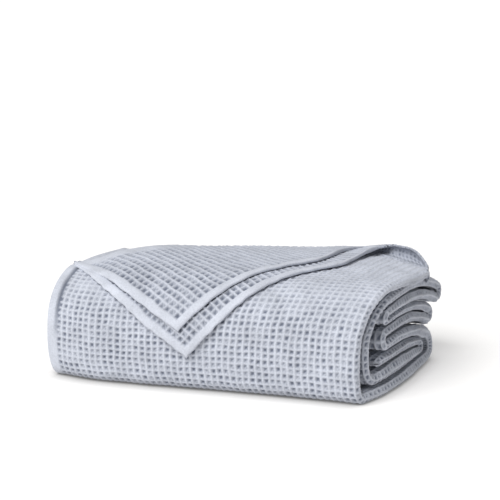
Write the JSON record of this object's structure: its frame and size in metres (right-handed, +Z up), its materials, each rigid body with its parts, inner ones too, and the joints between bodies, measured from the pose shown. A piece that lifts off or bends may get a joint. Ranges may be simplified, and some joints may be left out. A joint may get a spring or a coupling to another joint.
{
  "type": "folded waffle weave cotton blanket",
  "caption": "Pale blue waffle weave cotton blanket folded into a long soft package, with one hemmed corner turned down over its front.",
  "frame": {"origin": "middle of the package's footprint, on the surface it lies on", "axes": "+X along the package from its open left end to its folded right end, +Y from its front to its back, +Z up"},
  "size_m": [0.4138, 0.2804, 0.1423],
  "materials": {
    "cotton": "soft waffle weave, matt"
  },
  "bodies": {
    "root": {"blanket": "cotton"}
  },
  "joints": []
}
